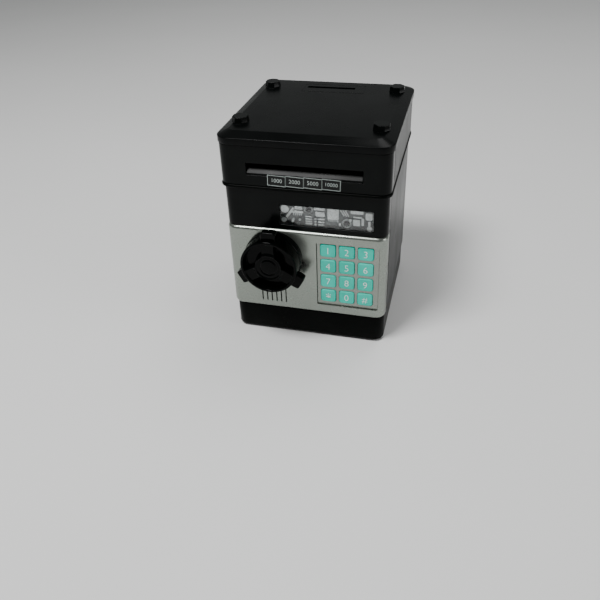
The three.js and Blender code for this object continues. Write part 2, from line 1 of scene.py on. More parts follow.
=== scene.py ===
"""Looks of the toy cash-machine savings bank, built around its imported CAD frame."""
import json
import math

import bmesh
import bpy
from mathutils import Matrix, Vector

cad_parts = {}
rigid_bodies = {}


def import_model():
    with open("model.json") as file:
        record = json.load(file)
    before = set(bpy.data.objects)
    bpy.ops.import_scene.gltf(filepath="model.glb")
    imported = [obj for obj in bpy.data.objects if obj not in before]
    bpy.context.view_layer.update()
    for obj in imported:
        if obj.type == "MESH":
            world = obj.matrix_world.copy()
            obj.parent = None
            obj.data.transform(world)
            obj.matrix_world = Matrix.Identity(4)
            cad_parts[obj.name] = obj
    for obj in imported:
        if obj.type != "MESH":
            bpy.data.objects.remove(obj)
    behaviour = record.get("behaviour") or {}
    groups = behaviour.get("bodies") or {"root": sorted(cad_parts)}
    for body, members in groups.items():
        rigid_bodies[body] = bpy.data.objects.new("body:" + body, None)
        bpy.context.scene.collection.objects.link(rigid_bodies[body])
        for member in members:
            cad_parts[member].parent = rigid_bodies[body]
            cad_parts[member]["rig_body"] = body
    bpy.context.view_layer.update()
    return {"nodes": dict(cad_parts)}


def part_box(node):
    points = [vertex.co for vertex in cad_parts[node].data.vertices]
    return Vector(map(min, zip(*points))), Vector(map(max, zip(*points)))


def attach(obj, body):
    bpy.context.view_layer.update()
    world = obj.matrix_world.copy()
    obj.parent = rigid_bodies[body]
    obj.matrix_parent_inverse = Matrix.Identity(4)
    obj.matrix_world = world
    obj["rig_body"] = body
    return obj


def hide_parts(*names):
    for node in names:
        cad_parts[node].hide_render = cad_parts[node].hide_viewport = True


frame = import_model()

MM = 0.001
WALL = 2.2 * MM
CORNER = 8 * MM
GAP = 0.3 * MM
QUARTER = math.pi / 2

LID_LOW, LID_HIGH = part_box("lid")
MID_Y = (LID_LOW.y + LID_HIGH.y) / 2
DOOR_LOW, DOOR_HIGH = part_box("door_panel")
FASCIA_LOW, FASCIA_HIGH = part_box("upper_fascia")
LOWER_LOW, LOWER_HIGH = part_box("window_fascia")
UPPER_REAR_LOW, UPPER_REAR_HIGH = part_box("upper_rear_shell")
LOWER_REAR_LOW, LOWER_REAR_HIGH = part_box("lower_rear_shell")
WAIST_LOW, WAIST_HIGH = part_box("waist_frame")
BASE_LOW, BASE_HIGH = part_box("base_tray")
KEYPAD_LOW, KEYPAD_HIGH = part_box("keypad_plate")
DRUM_LOW, DRUM_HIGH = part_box("knob_drum")
WHEEL_LOW, WHEEL_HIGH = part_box("knob_wheel")
LENS_LOW, LENS_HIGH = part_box("window_lens")
WINDOW_LOW = LENS_LOW - Vector((GAP, 0, GAP))
CHUTE_LOW, CHUTE_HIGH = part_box("bill_chute")
SPINDLE_LOW, SPINDLE_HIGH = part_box("knob_spindle")
PIN_LOW, PIN_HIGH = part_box("hinge_pin_lower")

KNOB_X = (SPINDLE_LOW.x + SPINDLE_HIGH.x) / 2
KNOB_Z = (SPINDLE_LOW.z + SPINDLE_HIGH.z) / 2
HINGE_X = (PIN_LOW.x + PIN_HIGH.x) / 2
HINGE_Y = (PIN_LOW.y + PIN_HIGH.y) / 2
SEAM_Y = UPPER_REAR_LOW.y
SEAM_GAP = 0.8 * MM  # the dark groove between a front moulding and its rear shell
NOTE_SLOT_TOP = 151.5 * MM
PIN_HOLE_R = 1.6 * MM
LUG_H = 4.2 * MM
UPPER_W = FASCIA_HIGH.x - FASCIA_LOW.x
LOWER_W = LOWER_HIGH.x - LOWER_LOW.x
DOOR_W = DOOR_HIGH.x - DOOR_LOW.x


# ------------------------------------------------------------------ materials
def new_material(name):
    material = bpy.data.materials.new(name)
    material.use_nodes = True
    nodes = material.node_tree.nodes
    return material, nodes, material.node_tree.links, nodes["Principled BSDF"]


def noise(nodes, links, scale, detail=2.0, stretch=(1, 1, 1)):
    """A noise texture on object coordinates, so it stays with the piece."""
    place = nodes.new("ShaderNodeTexCoord")
    mapping = nodes.new("ShaderNodeMapping")
    mapping.inputs["Scale"].default_value = stretch
    texture = nodes.new("ShaderNodeTexNoise")
    texture.inputs["Scale"].default_value = scale
    texture.inputs["Detail"].default_value = detail
    links.new(place.outputs["Object"], mapping.inputs["Vector"])
    links.new(mapping.outputs["Vector"], texture.inputs["Vector"])
    return texture


def spread(nodes, links, source, low, high, start=0.3, end=0.7):
    remap = nodes.new("ShaderNodeMapRange")
    remap.inputs["From Min"].default_value = start
    remap.inputs["From Max"].default_value = end
    remap.inputs["To Min"].default_value = low
    remap.inputs["To Max"].default_value = high
    links.new(source, remap.inputs["Value"])
    return remap.outputs["Result"]


def two_tone(nodes, links, source, dark, light):
    ramp = nodes.new("ShaderNodeValToRGB")
    ramp.color_ramp.elements[0].position = 0.35
    ramp.color_ramp.elements[0].color = (*dark, 1)
    ramp.color_ramp.elements[1].position = 0.65
    ramp.color_ramp.elements[1].color = (*light, 1)
    links.new(source, ramp.inputs["Fac"])
    return ramp.outputs["Color"]


def bump(nodes, links, source, shader, distance):
    node = nodes.new("ShaderNodeBump")
    node.inputs["Strength"].default_value = 1.0
    node.inputs["Distance"].default_value = distance
    links.new(source, node.inputs["Height"])
    links.new(node.outputs["Normal"], shader.inputs["Normal"])


def plastic(name, dark, light, rough, specular=0.5, grain=900, depth=0.00001):
    """Moulded plastic: slight tone change, handling smears in the gloss and a fine skin."""
    material, nodes, links, shader = new_material(name)
    tone = noise(nodes, links, 60, 3)
    links.new(two_tone(nodes, links, tone.outputs["Fac"], dark, light), shader.inputs["Base Color"])
    smear = noise(nodes, links, 35, 6, (1, 1, 0.6))
    links.new(spread(nodes, links, smear.outputs["Fac"], *rough), shader.inputs["Roughness"])
    skin = noise(nodes, links, grain, 2)
    bump(nodes, links, skin.outputs["Fac"], shader, depth)
    shader.inputs["Specular IOR Level"].default_value = specular
    return material


def metal(name, dark, light, rough, metallic=1.0, grain=1400, depth=0.000006, stretch=(1, 1, 1)):
    material, nodes, links, shader = new_material(name)
    flake = noise(nodes, links, grain, 3, stretch)
    links.new(two_tone(nodes, links, flake.outputs["Fac"], dark, light), shader.inputs["Base Color"])
    cloud = noise(nodes, links, 45, 4)
    links.new(spread(nodes, links, cloud.outputs["Fac"], *rough), shader.inputs["Roughness"])
    bump(nodes, links, flake.outputs["Fac"], shader, depth)
    shader.inputs["Metallic"].default_value = metallic
    return material


ACRYLIC_IOR = 1.49


def clear(name, tint, rough):
    material, nodes, links, shader = new_material(name)
    smear = noise(nodes, links, 120, 4)
    links.new(spread(nodes, links, smear.outputs["Fac"], *rough), shader.inputs["Roughness"])
    shader.inputs["Base Color"].default_value = (*tint, 1)
    shader.inputs["Transmission Weight"].default_value = 1.0
    shader.inputs["IOR"].default_value = ACRYLIC_IOR
    return material


GLOSS = plastic("gloss_black_plastic", (0.0010, 0.0016, 0.0014), (0.0020, 0.0028, 0.0025), (0.16, 0.26), 0.10)
# a darker, duller copy of the gloss black: painted shade for the base tray and waist frame, which sit in the
# shadow near the floor
SHADED_BASE = plastic("base_black_painted_shade", (0.0008, 0.0012, 0.0009), (0.0016, 0.0022, 0.0018), (0.26, 0.36), 0.05)
SIDE = plastic("mirror_black_plastic", (0.0020, 0.0025, 0.0023), (0.0032, 0.0040, 0.0037), (0.27, 0.34), 0.10)
LID_SATIN = plastic("satin_black_plastic", (0.0008, 0.0012, 0.0011), (0.0016, 0.0021, 0.0020),
                    (0.22, 0.30), 0.09, 2600, 0.000010)
CHUTE = plastic("chute_plastic", (0.0012, 0.0016, 0.0015), (0.0022, 0.0028, 0.0026), (0.24, 0.34), 0.07)
KNOB = plastic("knob_black_plastic", (0.0005, 0.0008, 0.0007), (0.0011, 0.0015, 0.0013), (0.08, 0.16), 0.07)
TEAL = plastic("key_teal_plastic", (0.012, 0.56, 0.42), (0.022, 0.64, 0.50), (0.32, 0.44), 0.25, 2000)
PRINT = plastic("pale_print", (0.80, 0.90, 0.87), (0.86, 0.95, 0.92), (0.45, 0.60), 0.3)
LABEL_LINE = plastic("label_line", (0.27, 0.31, 0.295), (0.34, 0.38, 0.365), (0.35, 0.50), 0.3)
LABEL_PRINT = plastic("label_print", (0.38, 0.43, 0.41), (0.46, 0.51, 0.49), (0.45, 0.60), 0.3)
LABEL_INK = plastic("label_ink", (0.003, 0.0038, 0.0036), (0.005, 0.006, 0.0057), (0.22, 0.34), 0.2)
SILVER = metal("silver_paint", (0.25, 0.275, 0.245), (0.31, 0.335, 0.30), (0.24, 0.32), 0.9, depth=0.000003)
STEEL = metal("steel", (0.46, 0.47, 0.48), (0.60, 0.61, 0.62), (0.22, 0.34), 1.0, stretch=(0.1, 1, 1))
RUBBER = plastic("black_rubber", (0.012, 0.012, 0.013), (0.022, 0.022, 0.024), (0.75, 0.90), 0.4, 1500,
                 0.00003)
GREY = plastic("grey_acetal", (0.15, 0.16, 0.165), (0.19, 0.20, 0.205), (0.40, 0.50))
INNER = plastic("inner_black_plastic", (0.018, 0.020, 0.020), (0.028, 0.030, 0.030), (0.42, 0.55), 0.4, 1300,
                0.00003)
LENS = clear("clear_window", (0.97, 0.99, 0.985), (0.02, 0.07))
LAMP = clear("clear_lamp", (0.90, 0.93, 0.93), (0.02, 0.10))
RELIEF = metal("relief_silver", (0.50, 0.52, 0.52), (0.64, 0.66, 0.66), (0.24, 0.40), 0.7, grain=700)
RELIEF_DARK = metal("relief_shadow", (0.06, 0.066, 0.066), (0.12, 0.13, 0.13), (0.30, 0.50), 0.7, grain=700)
BOARD = plastic("green_laminate", (0.010, 0.085, 0.030), (0.020, 0.130, 0.050), (0.35, 0.50), grain=500)
CONE = plastic("paper_cone", (0.030, 0.030, 0.032), (0.050, 0.050, 0.053), (0.70, 0.85), grain=1200)
CELL = plastic("cell_sleeve", (0.030, 0.140, 0.060), (0.045, 0.180, 0.080), (0.25, 0.35))
COPPER = metal("copper_coil", (0.36, 0.16, 0.06), (0.55, 0.27, 0.11), (0.30, 0.45), 0.9, stretch=(14, 1, 1))


# ------------------------------------------------------------------ mesh tools
def object_from(bm, name):
    bmesh.ops.recalc_face_normals(bm, faces=bm.faces)
    mesh = bpy.data.meshes.new(name)
    bm.to_mesh(mesh)
    bm.free()
    obj = bpy.data.objects.new(name, mesh)
    bpy.context.scene.collection.objects.link(obj)
    return obj


def arc(cx, cy, r, start, end, steps):
    return [(cx + r * math.cos(start + (end - start) * i / steps),
             cy + r * math.sin(start + (end - start) * i / steps)) for i in range(steps + 1)]


def rounded_rect(x0, x1, y0, y1, r, steps=8):
    return (arc(x1 - r, y1 - r, r, 0, QUARTER, steps)
            + arc(x0 + r, y1 - r, r, QUARTER, 2 * QUARTER, steps)
            + arc(x0 + r, y0 + r, r, 2 * QUARTER, 3 * QUARTER, steps)
            + arc(x1 - r, y0 + r, r, 3 * QUARTER, 4 * QUARTER, steps))


def prism(name, outline, low, high, along="z"):
    """A closed solid: an outline in plan (x, y), or in front view (x, z) when it runs along y."""
    bm = bmesh.new()
    loops = []
    for level in (low, high):
        if along == "z":
            loops.append([bm.verts.new((u, v, level)) for u, v in outline])
        elif along == "y":
            loops.append([bm.verts.new((u, level, v)) for u, v in outline])
        else:
            loops.append([bm.verts.new((level, u, v)) for u, v in outline])
    bm.faces.new(loops[0])
    bm.faces.new(loops[1])
    count = len(outline)
    for i in range(count):
        j = (i + 1) % count
        bm.faces.new((loops[0][i], loops[0][j], loops[1][j], loops[1][i]))
    return object_from(bm, name)


def loft(name, rings):
    """A closed solid through rings of equal length, capped at both ends."""
    bm = bmesh.new()
    loops = [[bm.verts.new(p) for p in ring] for ring in rings]
    bm.faces.new(loops[0])
    bm.faces.new(loops[-1])
    count = len(rings[0])
    for a, b in zip(loops, loops[1:]):
        for i in range(count):
            j = (i + 1) % count
            bm.faces.new((a[i], a[j], b[j], b[i]))
    return object_from(bm, name)


def lathe(name, profile, centre, axis="y", sides=96):
    """A turned solid. profile is (radius, position along the axis); its ends lie on the axis."""
    bm = bmesh.new()
    loops = []
    for r, t in profile:
        count = 1 if r == 0 else sides
        ring = []
        for i in range(count):
            a = 2 * math.pi * i / sides
            u, v = r * math.cos(a), r * math.sin(a)
            point = {"x": (t, u, v), "y": (u, t, v), "z": (u, v, t)}[axis]
            ring.append(bm.verts.new(Vector(centre) + Vector(point)))
        loops.append(ring)
    for a, b in zip(loops, loops[1:]):
        for i in range(sides):
            j = (i + 1) % sides
            corners = [a[i % len(a)], a[j % len(a)], b[j % len(b)], b[i % len(b)]]
            unique = list(dict.fromkeys(corners))
            if len(unique) > 2:
                bm.faces.new(unique)
    return object_from(bm, name)


def bake_modifiers(obj):
    graph = bpy.context.evaluated_depsgraph_get()
    graph.update()
    mesh = bpy.data.meshes.new_from_object(obj.evaluated_get(graph))
    obj.modifiers.clear()
    obj.data = mesh
    return obj


def cut(obj, cutters, operation="DIFFERENCE"):
    for cutter in cutters:
        modifier = obj.modifiers.new("cut", "BOOLEAN")
        modifier.operation = operation
        modifier.solver = "EXACT"
        modifier.object = cutter
    bake_modifiers(obj)
    for cutter in cutters:
        bpy.data.objects.remove(cutter)
    return obj


def tidy(obj, distance=0.000002, angle=0.5):
    """Merges doubled vertices and flat neighbours, so that bevels run cleanly."""
    bm = bmesh.new()
    bm.from_mesh(obj.data)
    bmesh.ops.remove_doubles(bm, verts=bm.verts, dist=distance)
    bmesh.ops.dissolve_limit(bm, angle_limit=math.radians(angle), verts=bm.verts, edges=bm.edges)
    bm.to_mesh(obj.data)
    bm.free()
    return obj


def round_edges(obj, width, segments=3, angle=32):
    modifier = obj.modifiers.new("round", "BEVEL")
    modifier.width = width
    modifier.segments = segments
    modifier.limit_method = "ANGLE"
    modifier.angle_limit = math.radians(angle)
    modifier.use_clamp_overlap = True
    modifier.harden_normals = True
    obj.data.shade_smooth()
    return bake_modifiers(obj)


def smooth_by_angle(obj, angle=35):
    obj.data.shade_smooth()
    obj.data.set_sharp_from_angle(angle=math.radians(angle))
    return obj


def place(obj, body, material, slot, *nodes):
    obj.data.materials.clear()
    obj.data.materials.append(material)
    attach(obj, body)
    if nodes:
        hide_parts(*nodes)
    return obj


def from_frame(node, material, slot, width=0.25 * MM, segments=2, name=None, angle=32):
    """A finer copy of a CAD node: same shape, with its sharp edges rounded."""
    source = frame["nodes"][node]
    obj = bpy.data.objects.new(name or node + "_fine", source.data.copy())
    bpy.context.scene.collection.objects.link(obj)
    tidy(obj)
    round_edges(obj, width, segments, angle)
    return place(obj, source["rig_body"], material, slot, node)


# ------------------------------------------------------------------ camera, floor and light
def add_camera():
    data = bpy.data.cameras.new("camera")
    data.sensor_width = 36
    data.lens = 38.7
    data.shift_x = -0.0040
    data.shift_y = -0.0404
    data.clip_start = 0.01
    camera = bpy.data.objects.new("camera", data)
    camera.location = (0.1097, -0.4691, 0.3392)
    camera.rotation_euler = [math.radians(a) for a in (56.575, 1.887, 14.104)]
    bpy.context.scene.collection.objects.link(camera)
    bpy.context.scene.camera = camera


def add_floor():
    bm = bmesh.new()
    bmesh.ops.create_grid(bm, x_segments=8, y_segments=8, size=4)
    floor = object_from(bm, "floor")
    material, nodes, links, shader = new_material("pale_floor")
    tone = noise(nodes, links, 3, 3)
    links.new(two_tone(nodes, links, tone.outputs["Fac"], (0.78, 0.78, 0.775), (0.80, 0.80, 0.795)),
              shader.inputs["Base Color"])
    shader.inputs["Roughness"].default_value = 0.7
    shader.inputs["Specular IOR Level"].default_value = 0.2
    floor.data.materials.append(material)


def add_light(name, location, target, size, power):
    data = bpy.data.lights.new(name, "AREA")
    data.shape = "SQUARE"
    data.size = size
    data.energy = power
    light = bpy.data.objects.new(name, data)
    light.location = location
    light.rotation_euler = (Vector(target) - Vector(location)).to_track_quat("-Z", "Y").to_euler()
    bpy.context.scene.collection.objects.link(light)


def add_world():
    """Soft surroundings: brighter overhead and behind, darker in front of the bank."""
    world = bpy.data.worlds.new("studio")
    world.use_nodes = True
    nodes, links = world.node_tree.nodes, world.node_tree.links
    background = nodes["Background"]
    background.inputs["Color"].default_value = (0.93, 0.96, 0.95, 1)
    coords = nodes.new("ShaderNodeTexCoord")
    split = nodes.new("ShaderNodeSeparateXYZ")
    links.new(coords.outputs["Generated"], split.inputs["Vector"])
    upward = spread(nodes, links, split.outputs["Z"], 0.24, 0.26, 0.0, 1.0)
    backward = spread(nodes, links, split.outputs["Y"], 0.6, 1.1, -1.0, 1.0)
    both = nodes.new("ShaderNodeMath")
    both.operation = "MULTIPLY"
    links.new(upward, both.inputs[0])
    links.new(backward, both.inputs[1])
    links.new(both.outputs["Value"], background.inputs["Strength"])
    bpy.context.scene.world = world


def add_lights():
    add_light("key", (-0.34, -0.50, 1.25), (0, 0, 0.1), 0.40, 17)
    add_light("right", (1.3, -0.2, 0.5), (0, 0, 0.1), 0.6, 5)
    add_light("top", (0.3, 0.7, 1.7), (0, 0, 0.15), 0.8, 8)


# ------------------------------------------------------------------ housing shells
def front_wall(name, width, y_front, z0, z1):
    """The wrap-round wall of a front moulding, open at the back, in plan."""
    half = width / 2
    y_end = SEAM_Y - SEAM_GAP
    outer = ([(half, y_end)] + arc(half - CORNER, y_front + CORNER, CORNER, 0, -QUARTER, 12)
             + arc(-half + CORNER, y_front + CORNER, CORNER, -QUARTER, -2 * QUARTER, 12) + [(-half, y_end)])
    r = CORNER - WALL
    inner = ([(-half + WALL, y_end)]
             + arc(-half + CORNER, y_front + CORNER, r, -2 * QUARTER, -QUARTER, 12)
             + arc(half - CORNER, y_front + CORNER, r, -QUARTER, 0, 12) + [(half - WALL, y_end)])
    return prism(name, outer + inner, z0, z1)


def rear_wall(name, width, y_back, z0, z1):
    half = width / 2
    outer = ([(half, SEAM_Y)] + arc(half - CORNER, y_back - CORNER, CORNER, 0, QUARTER, 12)
             + arc(-half + CORNER, y_back - CORNER, CORNER, QUARTER, 2 * QUARTER, 12) + [(-half, SEAM_Y)])
    r = CORNER - WALL
    inner = ([(-half + WALL, SEAM_Y)]
             + arc(-half + CORNER, y_back - CORNER, r, 2 * QUARTER, QUARTER, 12)
             + arc(half - CORNER, y_back - CORNER, r, QUARTER, 0, 12) + [(half - WALL, SEAM_Y)])
    return prism(name, outer + inner, z0, z1)


def block(name, low, high):
    return prism(name, [(low[0], low[1]), (high[0], low[1]), (high[0], high[1]), (low[0], high[1])],
                 low[2], high[2])


def build_upper_fascia():
    wall = front_wall("upper_fascia_fine", UPPER_W, FASCIA_LOW.y, FASCIA_LOW.z, FASCIA_HIGH.z)
    x0 = CHUTE_LOW.x - GAP
    x1 = CHUTE_HIGH.x + GAP
    opening = block("opening", (x0, FASCIA_LOW.y - 0.01, CHUTE_LOW.z - 0.3 * MM),
                    (x1, FASCIA_LOW.y + 0.01, NOTE_SLOT_TOP))
    cut(wall, [opening])
    tidy(wall)
    round_edges(wall, 0.5 * MM, 3)
    place(wall, "housing", GLOSS, "gloss_black", "upper_fascia")


def build_window_fascia():
    wall = front_wall("window_fascia_fine", LOWER_W, LOWER_LOW.y, LOWER_LOW.z, LOWER_HIGH.z)
    opening = prism("opening", rounded_rect(LENS_LOW.x - GAP, LENS_HIGH.x + GAP, LENS_LOW.z - GAP,
                                            LENS_HIGH.z + GAP, 0.8 * MM, 5),
                    LOWER_LOW.y - 0.01, LOWER_LOW.y + 0.01, "y")
    cut(wall, [opening])
    tidy(wall)
    round_edges(wall, 0.4 * MM, 3)
    place(wall, "housing", GLOSS, "gloss_black", "window_fascia")
    lug = block("hinge_lug_upper", (HINGE_X - 6 * MM, HINGE_Y - 8 * MM, LOWER_LOW.z + 0.05 * MM),
                (HINGE_X + 2 * MM, HINGE_Y + 4 * MM, LOWER_LOW.z + LUG_H))
    hole = lathe("hole", [(0, -0.01), (PIN_HOLE_R, -0.01), (PIN_HOLE_R, 0.01), (0, 0.01)],
                 (HINGE_X, HINGE_Y, LOWER_LOW.z), "z", 48)
    cut(lug, [hole])
    round_edges(lug, 0.2 * MM, 2)
    place(lug, "housing", GLOSS, "gloss_black")


def build_rear_shells():
    upper = rear_wall("upper_rear_shell_fine", UPPER_W, UPPER_REAR_HIGH.y,
                      UPPER_REAR_LOW.z, UPPER_REAR_HIGH.z)
    round_edges(upper, 0.35 * MM, 3)
    place(upper, "housing", SIDE, "gloss_black", "upper_rear_shell")
    lower = rear_wall("lower_rear_shell_fine", LOWER_W, LOWER_REAR_HIGH.y,
                      LOWER_REAR_LOW.z, LOWER_REAR_HIGH.z)
    knuckle_r = 4.8 * MM
    knuckle_top = DOOR_HIGH.z + GAP
    knuckle = lathe("knuckle", [(0, -0.1), (knuckle_r, -0.1), (knuckle_r, knuckle_top), (0, knuckle_top)],
                    (HINGE_X, HINGE_Y, 0), "z", 64)
    cut(lower, [knuckle])
    tidy(lower)
    round_edges(lower, 0.35 * MM, 3)
    place(lower, "housing", SIDE, "gloss_black", "lower_rear_shell")
    catch_x = -LOWER_W / 2 + WALL - 0.3 * MM
    catch = block("lock_catch", (catch_x, SEAM_Y + 0.7 * MM, KNOB_Z - 9 * MM),
                  (catch_x + 9.3 * MM, SEAM_Y + 3.1 * MM, KNOB_Z + 9 * MM))
    round_edges(catch, 0.5 * MM, 3)
    place(catch, "housing", SIDE, "gloss_black")


def build_waist():
    half_h = (WAIST_HIGH.z - WAIST_LOW.z) / 2
    mid = (WAIST_HIGH.z + WAIST_LOW.z) / 2
    rings = []
    levels = 6
    radius = CORNER + 0.8 * MM

    def ring(inset, z):
        outline = rounded_rect(WAIST_LOW.x + inset, WAIST_HIGH.x - inset, WAIST_LOW.y + inset,
                               WAIST_HIGH.y - inset, radius - inset, 12)
        return [(x, y, z) for x, y in outline]

    for i in range(levels + 1):
        a = -QUARTER + math.pi * i / levels
        rings.append(ring(0.7 * MM * (1 - math.cos(a)), mid + half_h * math.sin(a)))
    frame_piece = loft("waist_frame_fine", rings)
    drop_y = MID_Y + 11 * MM
    drop = prism("drop", rounded_rect(-54 * MM, 54 * MM, drop_y - 48 * MM, drop_y + 48 * MM, 5 * MM),
                 WAIST_LOW.z - 0.01, WAIST_HIGH.z + 0.01)
    cut(frame_piece, [drop])
    smooth_by_angle(frame_piece, 40)
    place(frame_piece, "housing", SHADED_BASE, "gloss_black", "waist_frame")


def build_base():
    plan = rounded_rect(BASE_LOW.x, BASE_HIGH.x, BASE_LOW.y, BASE_HIGH.y, CORNER, 12)
    shell = prism("base_tray_fine", plan, BASE_LOW.z, BASE_HIGH.z)
    round_edges(shell, 0.8 * MM, 4)
    low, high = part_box("battery_cover")
    hollow = prism("hollow", rounded_rect(BASE_LOW.x + WALL, BASE_HIGH.x - WALL, BASE_LOW.y + WALL,
                                          BASE_HIGH.y - WALL, CORNER - WALL, 10),
                   BASE_LOW.z + 2.4 * MM, BASE_HIGH.z + 0.01)
    hatch = block("hatch", (low.x - GAP, low.y - GAP, BASE_LOW.z - 0.01),
                  (high.x + GAP, high.y + GAP, 6 * MM))
    cut(shell, [hollow, hatch])
    smooth_by_angle(shell, 30)
    place(shell, "housing", SHADED_BASE, "gloss_black", "base_tray")
    lug = block("hinge_lug_lower", (HINGE_X - 6 * MM, HINGE_Y - 4 * MM, BASE_HIGH.z - 5 * MM),
                (HINGE_X + 1.5 * MM, HINGE_Y + 6 * MM, BASE_HIGH.z - 0.05 * MM))
    hole = lathe("hole", [(0, -0.01), (PIN_HOLE_R, -0.01), (PIN_HOLE_R, 0.01), (0, 0.01)],
                 (HINGE_X, HINGE_Y, BASE_HIGH.z), "z", 48)
    cut(lug, [hole])
    place(lug, "housing", GLOSS, "gloss_black")


# ------------------------------------------------------------------ lid
COIN_X = -2.2 * MM
COIN_Y = MID_Y + 44.6 * MM
COIN_L = 40 * MM
COIN_W = 4.2 * MM
LID_TOP = 173.6 * MM
LID_CORNER = 11 * MM
LID_EDGE_H = 3.3 * MM
LID_EDGE_IN = 8.4 * MM
POST_X = 52.5 * MM
POST_YS = (MID_Y - 42 * MM, MID_Y + 44 * MM)


def build_lid():
    def ring(inset, z):
        r = LID_CORNER - inset * 0.7
        outline = rounded_rect(LID_LOW.x + inset, LID_HIGH.x - inset,
                               LID_LOW.y + inset, LID_HIGH.y - inset, r, 14)
        return [(x, y, z) for x, y in outline]

    rim = LID_TOP - LID_EDGE_H
    slope = math.atan2(LID_EDGE_H, LID_EDGE_IN)
    soft = 0.55 * MM
    rings = [ring(0.5 * MM, LID_LOW.z), ring(0.15 * MM, LID_LOW.z + 0.15 * MM), ring(0, LID_LOW.z + 0.5 * MM)]
    steps = 4
    for i in range(steps + 1):
        a = (QUARTER - slope) * i / steps
        rings.append(ring(soft * (1 - math.cos(a)), rim - soft * 0.7 + soft * math.sin(a)))
    for i in range(steps + 1):
        a = slope * (1 - i / steps)
        rings.append(ring(LID_EDGE_IN - soft * math.sin(a), LID_TOP - soft * (1 - math.cos(a))))
    lid = loft("lid_fine", rings)
    hollow = prism("hollow", rounded_rect(FASCIA_LOW.x + WALL, FASCIA_HIGH.x - WALL, FASCIA_LOW.y + WALL,
                                          LID_HIGH.y - 4 * MM, CORNER - WALL, 8),
                   LID_LOW.z - 0.01, rim - 0.4 * MM)
    slot = prism("slot", rounded_rect(COIN_X - COIN_L / 2, COIN_X + COIN_L / 2, COIN_Y - COIN_W / 2,
                                      COIN_Y + COIN_W / 2, 0.6 * MM, 4), 0.15, 0.19)
    cut(lid, [hollow, slot])
    smooth_by_angle(lid, 34)
    place(lid, "housing", LID_SATIN, "satin_black", "lid")


def build_coin_pad():
    """A shallow moulded border around the coin slot."""
    pad_l, pad_w, band = 52 * MM, 20 * MM, 0.9 * MM
    cx, cy = 0.4 * MM, COIN_Y - 1.5 * MM
    outer = rounded_rect(cx - pad_l / 2, cx + pad_l / 2, cy - pad_w / 2, cy + pad_w / 2, 2 * MM)
    pad = prism("coin_pad", outer, LID_TOP - 0.2 * MM, LID_TOP + 0.12 * MM)
    inner = prism("inner", rounded_rect(cx - pad_l / 2 + band, cx + pad_l / 2 - band, cy - pad_w / 2 + band,
                                        cy + pad_w / 2 - band, 1.4 * MM), 0.15, 0.19)
    cut(pad, [inner])
    round_edges(pad, 0.1 * MM, 2)
    place(pad, "housing", LID_SATIN, "satin_black")


def build_posts():
    top = LID_HIGH.z
    for i, x in enumerate((-POST_X, POST_X)):
        for j, y in enumerate(POST_YS):
            rings = []
            for r, z in ((6.9, LID_TOP - 0.2 * MM), (6.6, LID_TOP + 0.5 * MM), (6.1, top)):
                rings.append([(x + r * MM * math.cos(2 * math.pi * (k + 0.5) / 8),
                               y + r * MM * math.sin(2 * math.pi * (k + 0.5) / 8), z) for k in range(8)])
            post = loft(f"corner_post_{i + 1}_{j + 1}", rings)
            round_edges(post, 0.5 * MM, 3, 25)
            place(post, "housing", GLOSS, "gloss_black")


# ------------------------------------------------------------------ banknote chute and value labels
def build_chute():
    y0 = FASCIA_LOW.y + 0.02 * MM
    top = CHUTE_HIGH.z
    outline = [(y0, CHUTE_LOW.z + 1.2 * MM), (y0 + 3.4 * MM, top), (CHUTE_HIGH.y, top),
               (CHUTE_HIGH.y, top - 1.8 * MM), (y0 + 3.4 * MM, top - 1.8 * MM), (y0, CHUTE_LOW.z)]
    chute = prism("bill_chute_fine", outline, CHUTE_LOW.x, CHUTE_HIGH.x, "x")
    round_edges(chute, 0.3 * MM, 3, 20)
    place(chute, "housing", CHUTE, "chute", "bill_chute")


def text_piece(name, body, text, size, centre, material, slot, depth, turn=0.0, squeeze=1.0, thin=0.0):
    curve = bpy.data.curves.new(name, "FONT")
    curve.body = text
    curve.size = size
    curve.align_x = "CENTER"
    curve.align_y = "CENTER"
    curve.extrude = depth
    curve.offset = -thin
    curve.resolution_u = 4
    source = bpy.data.objects.new(name + "_source", curve)
    bpy.context.scene.collection.objects.link(source)
    graph = bpy.context.evaluated_depsgraph_get()
    graph.update()
    mesh = bpy.data.meshes.new_from_object(source.evaluated_get(graph))
    bpy.data.objects.remove(source)
    mesh.transform(Matrix.Diagonal((squeeze, 1, 1, 1)))
    mesh.transform(Matrix.Rotation(QUARTER, 4, "X"))
    mesh.transform(Matrix.Rotation(turn, 4, "Y"))
    mesh.transform(Matrix.Translation(centre))
    obj = bpy.data.objects.new(name, mesh)
    bpy.context.scene.collection.objects.link(obj)
    return place(obj, body, material, slot)


LABEL_W = 13.9 * MM
LABEL_H = 8.4 * MM
LABEL_TURN = math.radians(2.2)


